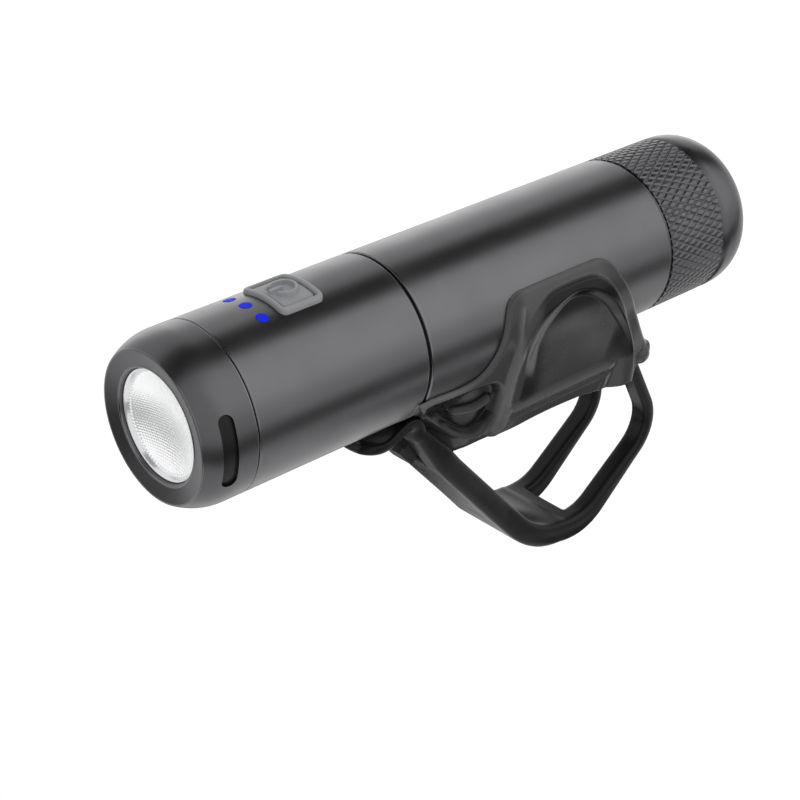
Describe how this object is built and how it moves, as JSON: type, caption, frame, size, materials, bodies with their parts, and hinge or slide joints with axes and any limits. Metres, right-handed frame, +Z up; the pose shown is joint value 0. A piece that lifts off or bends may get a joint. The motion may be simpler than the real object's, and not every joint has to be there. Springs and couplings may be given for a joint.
{
  "type": "bicycle headlight",
  "caption": "Torch-shaped bicycle headlight with top button, knurled screw cap over its charge port, and silicone handlebar saddle with a pull strap.",
  "frame": {"origin": "centre of the handlebar clamp, halfway along the strap's width", "axes": "+X along the beam, +Y along the handlebar to the rider's left, +Z up"},
  "size_m": [0.131, 0.0338, 0.0704],
  "materials": {
    "anodised_black": "bead-blasted and black anodised, satin",
    "smoked_plastic": "smoked clear polycarbonate",
    "seal_rubber": "moulded nitrile rubber",
    "lens_acrylic": "moulded acrylic with a beaded front",
    "white_plastic": "moulded white plastic",
    "led_phosphor": "phosphor under a clear dome",
    "white_board": "white solder mask",
    "screw_steel": "plated steel",
    "bare_aluminium": "turned",
    "grey_silicone": "moulded silicone, matt",
    "black_silicone": "moulded silicone, glossy",
    "black_plastic": "moulded nylon",
    "indicator_blue": "blue tinted light pipe",
    "green_board": "green solder mask",
    "nickel": "nickel plated",
    "cell_wrap": null
  },
  "bodies": {
    "light": {"bezel_ring": "anodised_black", "side_window_ring": "smoked_plastic", "lens_gasket": "seal_rubber", "front_lens": "lens_acrylic", "lens_holder": "white_plastic", "led_emitter": "led_phosphor", "led_board": "white_board", "led_board_screws": "screw_steel", "heat_sink": "bare_aluminium", "head_housing": "anodised_black", "button_frame": "grey_silicone", "tact_switch": "screw_steel", "indicator_pipes": "indicator_blue", "indicator_leds": "white_plastic", "main_board": "green_board", "cell_tabs": "nickel", "battery_cell": "cell_wrap", "cell_sleeve": "black_plastic", "joint_seal": "seal_rubber", "battery_tube": "anodised_black", "charge_board": "green_board", "port_plate": "black_plastic", "charge_port": "nickel", "port_tongue": "black_plastic", "saddle": "black_silicone", "saddle_core": "black_plastic", "core_screws": "screw_steel", "strap_rear": "black_silicone"},
    "button": {"button_pad": "grey_silicone", "switch_plunger": "black_plastic"},
    "cap_ring": {"cap_seal": "seal_rubber"},
    "cap": {"tail_cap": "anodised_black"},
    "strap": {"strap_front": "black_silicone"}
  },
  "joints": [
    {"name": "button_press", "type": "slide", "parent": "light", "child": "button", "axis": [0, 0, -1], "range_m": [0, 0.0005], "stiffness_N_per_m": 800},
    {"name": "cap_slide", "type": "slide", "parent": "light", "child": "cap_ring", "axis": [-1, 0, 0], "range_m": [0, 0.0241]},
    {"name": "cap_turn", "type": "hinge", "parent": "cap_ring", "child": "cap", "pos_m": [0, 0, 0.0375], "axis": [-1, 0, 0], "range_deg": [0, 2160]},
    {"name": "strap_release", "type": "hinge", "parent": "light", "child": "strap", "pos_m": [0.00745, 0, -0.0129], "axis": [0, 1, 0], "range_deg": [0, 95], "stiffness_Nm_per_rad": 0.02}
  ],
  "couplings": [
    {"joint": "cap_slide", "follows": "cap_turn", "m_per_rad": 0.00063662}
  ]
}
